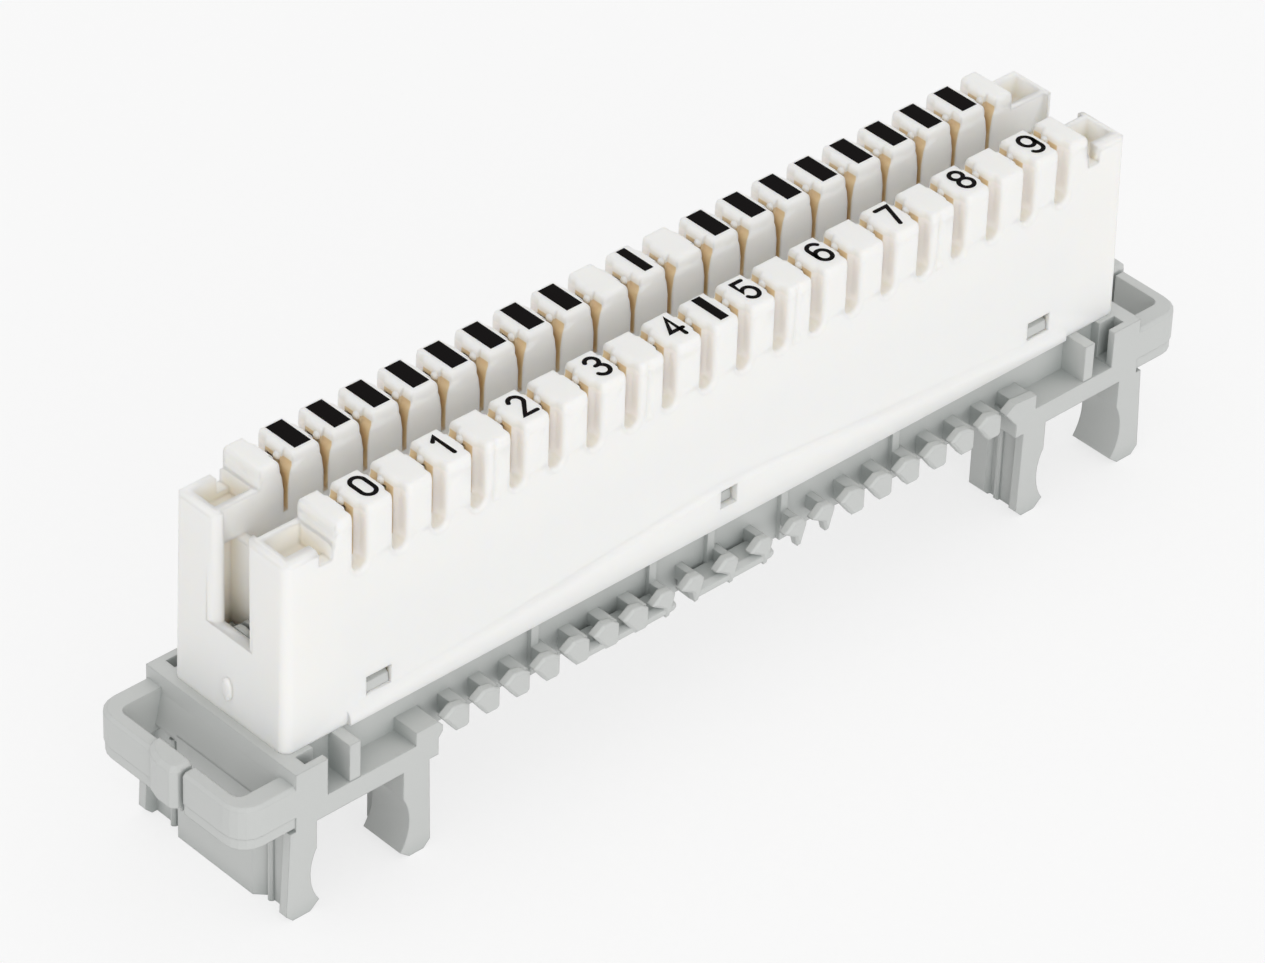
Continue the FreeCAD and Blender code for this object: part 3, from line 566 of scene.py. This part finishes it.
def round_nubs(material):
    """The round nubs on both sides of every slot.

    Each is a sphere on a grid of two angles: the cosine of the angle up times the cosine and
    sine of the angle around, and the sine of the angle up. Fans close the two poles.
    """
    around = np.radians(np.arange(0, 360, NUB_STEP))
    up = np.radians(np.arange(NUB_STEP - 90, 90, NUB_STEP))
    ring = np.stack([
        np.cos(up)[:, None] * np.cos(around),
        np.cos(up)[:, None] * np.sin(around),
        np.sin(up)[:, None] + 0 * around,
    ], axis=-1).reshape(-1, 3)
    ball = np.vstack([ring, [(0, 0, -1), (0, 0, 1)]]) * NUB_RADIUS
    count = len(around)
    i = np.arange(count)
    after = np.roll(i, -1)
    row = np.arange(len(up) - 1)[:, None] * count
    quads = np.stack([row + i, row + after, row + count + after, row + count + i], axis=-1)
    last = (len(up) - 1) * count
    south = np.full(count, len(ring))
    faces = quads.reshape(-1, 4).tolist() + np.stack([after, i, south], axis=-1).tolist()
    faces += np.stack([last + i, last + after, south + 1], axis=-1).tolist()
    places = np.array([
        (x + side * NUB_OFFSET, row_side * NUB_Y, NUB_Z)
        for row_side in (-1, 1) for x in slot_centres() for side in (-1, 1)
    ])
    points = (places[:, None] + ball).reshape(-1, 3)
    all_faces = [[i + k * len(ball) for i in face] for k in range(len(places)) for face in faces]
    return make_object("wire_nubs", points, all_faces, material)


def softly_shaded(piece):
    """Shade as one the slight bends above SMOOTH_START, and keep the broad faces even."""
    faces = piece.data.polygons
    centres = np.empty(len(faces) * 3, np.float32)
    faces.foreach_get("center", centres)
    faces.foreach_set("use_smooth", centres[2::3] > SMOOTH_START * MM)
    piece.data.set_sharp_from_angle(angle=SMOOTH_ANGLE)
    normals = piece.modifiers.new("even_shading", "WEIGHTED_NORMAL")
    normals.keep_sharp = True
    normals.weight = 100


def dress(names, material):
    """CAD nodes keep their shape and take the material."""
    for name in names:
        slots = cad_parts[name].data.materials
        slots.clear()
        slots.append(material)


def of_white_plastic(piece):
    """The piece rides on the block: it hangs from the root body, as the prints do."""
    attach(piece, "root")


# Numerals: centre lines in a box one unit wide and one unit tall, drawn with a round pen.
def line(*points):
    """Straight pen strokes through the points."""
    return np.array(points, float)


def arc(centre, radii, start, end, steps=ARC_STEPS):
    """An elliptical pen stroke; the angle runs evenly from start to end, in degrees."""
    angle = np.radians(np.linspace(start, end, steps))
    return np.array(centre) + np.array(radii) * np.stack([np.cos(angle), np.sin(angle)], axis=1)


def joined(*strokes):
    """Strokes drawn without lifting the pen."""
    return np.concatenate(strokes)


def numeral_strokes():
    """The pen strokes of each numeral from 0 to 9."""
    six = joined(
        arc((0.5, 0.74), (0.5, 0.26), 28, 180),
        arc((0.5, 0.3), (0.5, 0.3), 180, 540, 36),
    )
    return {
        "0": [joined(
            arc((0.5, 0.73), (0.5, 0.27), 0, 180),
            arc((0.5, 0.27), (0.5, 0.27), 180, 360),
            line((1.0, 0.73)),
        )],
        "1": [line((0.24, 0.82), (0.62, 1.0), (0.62, 0.0))],
        "2": [joined(
            arc((0.5, 0.73), (0.48, 0.27), 162, -28),
            line((0.02, 0.0), (1.0, 0.0)),
        )],
        "3": [
            joined(arc((0.48, 0.765), (0.44, 0.235), 158, -75), line((0.4, 0.53))),
            joined(line((0.4, 0.53)), arc((0.48, 0.27), (0.5, 0.27), 75, -158)),
        ],
        "4": [line((0.74, 0.0), (0.74, 1.0), (0.0, 0.31), (1.0, 0.31))],
        "5": [joined(
            line((0.86, 1.0), (0.06, 1.0), (0.06, 0.47)),
            arc((0.48, 0.31), (0.5, 0.31), 135, -155),
        )],
        "6": [six],
        "7": [line((0.0, 1.0), (1.0, 1.0), (0.38, 0.0))],
        "8": [
            arc((0.5, 0.765), (0.45, 0.235), -90, 270, 32),
            arc((0.5, 0.265), (0.5, 0.265), 90, 450, 32),
        ],
        "9": [1 - six],
    }


def pen_outline(centres, pen):
    """The closed outline of a round pen drawn along a centre line.

    Each side is the line moved half the pen along its normal, which is the mean of the
    neighbouring directions turned a quarter turn; half circles close the ends.
    """
    steps = np.diff(centres, axis=0)
    steps /= np.linalg.norm(steps, axis=1, keepdims=True)
    before = np.vstack([steps[:1], steps])
    after = np.vstack([steps, steps[-1:]])
    normal = np.stack([-(before + after)[:, 1], (before + after)[:, 0]], axis=1)
    normal /= np.linalg.norm(normal, axis=1, keepdims=True)
    turn = np.clip((normal * np.stack([-before[:, 1], before[:, 0]], axis=1)).sum(axis=1), 0.5, 1)
    side = normal * (pen / 2 / turn)[:, None]

    def cap(centre, direction):
        start = math.atan2(direction[1], direction[0]) + math.pi / 2
        angle = start - np.linspace(0, math.pi, PEN_CAP_STEPS)[1:-1]
        return centre + pen / 2 * np.stack([np.cos(angle), np.sin(angle)], axis=1)

    left = centres + side
    right = centres - side
    return left, cap(centres[-1], steps[-1]), right, cap(centres[0], -steps[0])


def pen_mesh(strokes, pen, thickness):
    """Raised strokes: quads between the two sides, fans at the round ends, and walls all round.

    Each outline stands at its stroke's own height and again at zero. A stroke that ends where it
    starts has no fans.
    """
    points = []
    faces = []
    for order, centres in enumerate(strokes):
        left, end_cap, right, start_cap = pen_outline(centres, pen)
        count = len(centres)
        rim = np.vstack([left, end_cap, right[::-1], start_cap])
        size = len(rim)
        base = sum(len(block) for block in points)
        for z in (thickness + STROKE_RISE * order, 0.0):
            points.append(np.column_stack([rim, np.full(size, z)]))
        rows = np.arange(count - 1)
        far_row = 2 * count + len(end_cap) - 1 - rows
        top = np.stack([rows, far_row, far_row - 1, rows + 1], axis=1) + base
        end_fan = [base + i for i in range(count - 1, count + len(end_cap) + 1)]
        start_fan = [base + i % size for i in range(2 * count + len(end_cap) - 1, size + 1)]
        closed = np.allclose(centres[0], centres[-1])
        tops = top.tolist() + ([] if closed else [end_fan[::-1], start_fan[::-1]])
        faces += [face[::-1] for face in tops]
        faces += [[i + size for i in face] for face in tops]
        ring = np.arange(size)
        after = np.roll(ring, -1)
        walls = np.stack([ring, ring + size, after + size, after], axis=1) + base
        faces += walls[:, ::-1].tolist()
    return np.vstack(points), faces


class WiringBlockSizes(bpy.types.PropertyGroup):
    """Sizes that a user would change."""

    digit_height: bpy.props.FloatProperty(
        name="Digit height", description="Height of a printed numeral",
        default=3.35 * MM, unit="LENGTH",
    )
    digit_width: bpy.props.FloatProperty(
        name="Digit width", description="Width of a printed numeral",
        default=1.97 * MM, unit="LENGTH",
    )
    pen_width: bpy.props.FloatProperty(
        name="Pen width", description="Stroke width of the numerals",
        default=0.46 * MM, unit="LENGTH",
    )
    wide_bar: bpy.props.FloatProperty(
        name="Wide bar", description="Width of the printed bars of the back row",
        default=1.95 * MM, unit="LENGTH",
    )
    narrow_bar: bpy.props.FloatProperty(
        name="Narrow bar", description="Width of the printed middle marks",
        default=1.08 * MM, unit="LENGTH",
    )
    bar_length: bpy.props.FloatProperty(
        name="Bar length", description="Length of the printed bars",
        default=4.1 * MM, unit="LENGTH",
    )
    ink_thickness: bpy.props.FloatProperty(
        name="Ink thickness", description="How far the print stands on the plastic",
        default=0.02 * MM, unit="LENGTH",
    )


class WiringBlockColours(bpy.types.PropertyGroup):
    """Colours that a user would change."""

    white_plastic: bpy.props.FloatVectorProperty(
        name="White plastic", description="Colour of the slotted housing",
        subtype="COLOR", size=4, min=0.0, max=1.0, default=linear("#F7F6F3"),
    )
    grey_plastic: bpy.props.FloatVectorProperty(
        name="Grey plastic", description="Colour of the base",
        subtype="COLOR", size=4, min=0.0, max=1.0, default=linear("#C9CBC9"),
    )
    ink: bpy.props.FloatVectorProperty(
        name="Ink", description="Colour of the printed numerals and bars",
        subtype="COLOR", size=4, min=0.0, max=1.0, default=linear("#0D0B0B"),
    )


class WiringBlockLight(bpy.types.PropertyGroup):
    """Light levels that a user would change."""

    key_power: bpy.props.FloatProperty(
        name="Key power", description="Power of the large front light", default=2.0, unit="POWER",
    )
    sky_level: bpy.props.FloatProperty(
        name="Sky level", description="Strength of the even white surround", default=0.82,
    )


def tooth_x(tooth):
    """The middle of a tooth, numbered from 1 at the -X end, in millimetres."""
    return (tooth - (TEETH_PER_ROW + 1) / 2) * PITCH


class WIRINGBLOCK_OT_dress_mouldings(bpy.types.Operator):
    """Give the white housing and the grey base their moulded plastics"""

    bl_idname = "wiring_block.dress_mouldings"
    bl_label = "Dress Mouldings"

    def execute(self, context):
        colours = context.scene.wiring_block_colours
        dress([BASE], grey_polycarbonate(colours.grey_plastic))
        slotted = white_pbt("white_moulded_pbt", colours.white_plastic, True)
        housing = bpy.data.objects.new("toothed_housing", merged_copy(HOUSING))
        context.scene.collection.objects.link(housing)
        cut_away(housing, mouth_cutters(slotted))
        cut_away(housing, groove_cutters(slotted))
        rounded_tops(housing.data)
        housing.data.materials.clear()
        housing.data.materials.append(slotted)
        nubs = round_nubs(white_pbt("white_moulded_pbt_nubs", colours.white_plastic, False))
        for piece in (housing, nubs):
            softly_shaded(piece)
            of_white_plastic(piece)
        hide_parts(HOUSING)
        return {"FINISHED"}


class WIRINGBLOCK_OT_dress_contacts(bpy.types.Operator):
    """Give the stamped contacts their silver-plated brass"""

    bl_idname = "wiring_block.dress_contacts"
    bl_label = "Dress Contacts"

    def execute(self, context):
        dress(CONTACTS, silvered_brass())
        return {"FINISHED"}


class WIRINGBLOCK_OT_print_numerals(bpy.types.Operator):
    """Print the numerals 0 to 9 on every second tooth of the front row"""

    bl_idname = "wiring_block.print_numerals"
    bl_label = "Print Numerals"

    def execute(self, context):
        sizes = context.scene.wiring_block_sizes
        ink = print_ink(context.scene.wiring_block_colours.ink)
        scale = (np.array([sizes.digit_width, sizes.digit_height]) - sizes.pen_width) / MM
        for numeral, strokes in numeral_strokes().items():
            tooth = 1 + 2 * int(numeral)
            place = np.array([tooth_x(tooth) + LABEL_SHIFT, FRONT_LABEL_Y])
            drawn = [place + (stroke - 0.5) * scale for stroke in strokes]
            points, faces = pen_mesh(drawn, sizes.pen_width / MM, sizes.ink_thickness / MM)
            points[:, 2] += TOOTH_TOP
            of_white_plastic(make_object("printed_numeral_" + numeral, points, faces, ink))
        return {"FINISHED"}


class WIRINGBLOCK_OT_print_bars(bpy.types.Operator):
    """Print the plain bars of the back row and the two narrow middle marks"""

    bl_idname = "wiring_block.print_bars"
    bl_label = "Print Bars"

    def execute(self, context):
        sizes = context.scene.wiring_block_sizes
        ink = print_ink(context.scene.wiring_block_colours.ink)
        middle = (TEETH_PER_ROW + 1) // 2
        wide = [tooth for tooth in range(1, TEETH_PER_ROW + 1) if abs(tooth - middle) > 1]
        marks = [("printed_bar_%02d" % tooth, tooth, BACK_LABEL_Y, sizes.wide_bar) for tooth in wide]
        marks.append(("printed_bar_%02d" % middle, middle, BACK_LABEL_Y, sizes.narrow_bar))
        marks.append(("printed_middle_mark", middle, FRONT_LABEL_Y, sizes.narrow_bar))
        square = np.array([(-1, -1), (1, -1), (1, 1), (-1, 1)])
        heights = (TOOTH_TOP, TOOTH_TOP + sizes.ink_thickness / MM)
        faces = [[3, 2, 1, 0], [4, 5, 6, 7]]
        faces += [[i, (i + 1) % 4, (i + 1) % 4 + 4, i + 4] for i in range(4)]
        for name, tooth, y, width in marks:
            half = np.array([width, sizes.bar_length]) / MM / 2
            corners = square * half + (tooth_x(tooth) + LABEL_SHIFT, y)
            points = np.vstack([np.column_stack([corners, np.full(4, z)]) for z in heights])
            of_white_plastic(make_object(name, points, faces, ink))
        return {"FINISHED"}


class WIRINGBLOCK_OT_build_stage(bpy.types.Operator):
    """Add the pale floor, the soft lights, the white surround and the camera"""

    bl_idname = "wiring_block.build_stage"
    bl_label = "Build Stage"

    def execute(self, context):
        light = context.scene.wiring_block_light
        corners = np.array([(-1, -1, 0), (1, -1, 0), (1, 1, 0), (-1, 1, 0)]) * FLOOR_HALF
        floor = make_object("stage_floor", corners, [[0, 1, 2, 3]], pale_paper())
        self.add_surround(context.scene, light.sky_level)
        self.add_light("front_light", LIGHT_PLACE, LIGHT_AIM, LIGHT_WIDTH, light.key_power)
        self.add_camera(context.scene)
        return {"FINISHED"}

    def add_surround(self, scene, level):
        """An even white sky; the camera and mirror rays see plain white."""
        world = bpy.data.worlds.new("white_surround")
        scene.world = world
        world.use_nodes = True
        tree = world.node_tree
        tree.nodes.clear()
        strength = add_node(
            tree, "ShaderNodeMapRange", {"Value": seen_directly(tree), "To Min": level, "To Max": 1.0},
        )
        sky = add_node(
            tree, "ShaderNodeBackground",
            {"Color": (1.0, 1.0, 1.0, 1.0), "Strength": strength.outputs[0]},
        )
        output = add_node(tree, "ShaderNodeOutputWorld")
        tree.links.new(sky.outputs[0], output.inputs["Surface"])

    def add_light(self, name, place, aim, size, power):
        """A square area light aimed at a point; places and size in millimetres."""
        data = bpy.data.lights.new(name, "AREA")
        data.shape = "SQUARE"
        data.size = size * MM
        data.energy = power
        lamp = bpy.data.objects.new(name, data)
        turned = (Vector(aim) - Vector(place)).to_track_quat("-Z", "Y").to_matrix().to_4x4()
        lamp.matrix_world = Matrix.Translation(Vector(place) * MM) @ turned
        bpy.context.scene.collection.objects.link(lamp)

    def add_camera(self, scene):
        """The camera of the photograph: placed, aimed and rolled as measured."""
        data = bpy.data.cameras.new("photo_camera")
        data.sensor_width = SENSOR_MM
        data.lens = LENS_MM
        data.clip_start = 0.01
        data.clip_end = 20.0
        camera = bpy.data.objects.new("photo_camera", data)
        back = (Vector(CAMERA_MM) - Vector(AIM_MM)).normalized()
        level_right = Vector((0, 0, 1)).cross(back).normalized()
        level_up = back.cross(level_right)
        right = level_right * math.cos(CAMERA_ROLL) + level_up * math.sin(CAMERA_ROLL)
        up = back.cross(right)
        turned = Matrix((right, up, back)).transposed().to_4x4()
        camera.matrix_world = Matrix.Translation(Vector(CAMERA_MM) * MM) @ turned
        scene.collection.objects.link(camera)
        scene.camera = camera
        scene.view_settings.view_transform = "Standard"


STEPS = (
    WIRINGBLOCK_OT_dress_mouldings,
    WIRINGBLOCK_OT_dress_contacts,
    WIRINGBLOCK_OT_print_numerals,
    WIRINGBLOCK_OT_print_bars,
    WIRINGBLOCK_OT_build_stage,
)


class WIRINGBLOCK_PT_tools(bpy.types.Panel):
    """The sizes, the light levels and the steps, in the sidebar"""

    bl_idname = "WIRINGBLOCK_PT_tools"
    bl_label = "Wiring Block"
    bl_space_type = "VIEW_3D"
    bl_region_type = "UI"
    bl_category = "Wiring Block"

    def draw(self, context):
        scene = context.scene
        for group in (scene.wiring_block_sizes, scene.wiring_block_colours, scene.wiring_block_light):
            for name in group.bl_rna.properties.keys():
                if name not in ("rna_type", "name"):
                    self.layout.prop(group, name)
        for step in STEPS:
            self.layout.operator(step.bl_idname)


CLASSES = (WiringBlockSizes, WiringBlockColours, WiringBlockLight, *STEPS, WIRINGBLOCK_PT_tools)


def register():
    """Register the classes and hang their settings on the scene."""
    for cls in CLASSES:
        bpy.utils.register_class(cls)
    bpy.types.Scene.wiring_block_sizes = bpy.props.PointerProperty(type=WiringBlockSizes)
    bpy.types.Scene.wiring_block_colours = bpy.props.PointerProperty(type=WiringBlockColours)
    bpy.types.Scene.wiring_block_light = bpy.props.PointerProperty(type=WiringBlockLight)


def unregister():
    """Take the settings and the classes away again."""
    del bpy.types.Scene.wiring_block_light
    del bpy.types.Scene.wiring_block_colours
    del bpy.types.Scene.wiring_block_sizes
    for cls in reversed(CLASSES):
        bpy.utils.unregister_class(cls)


def main():
    register()
    bpy.ops.wiring_block.dress_mouldings()
    bpy.ops.wiring_block.dress_contacts()
    bpy.ops.wiring_block.print_numerals()
    bpy.ops.wiring_block.print_bars()
    bpy.ops.wiring_block.build_stage()


if __name__ == "__main__":
    main()
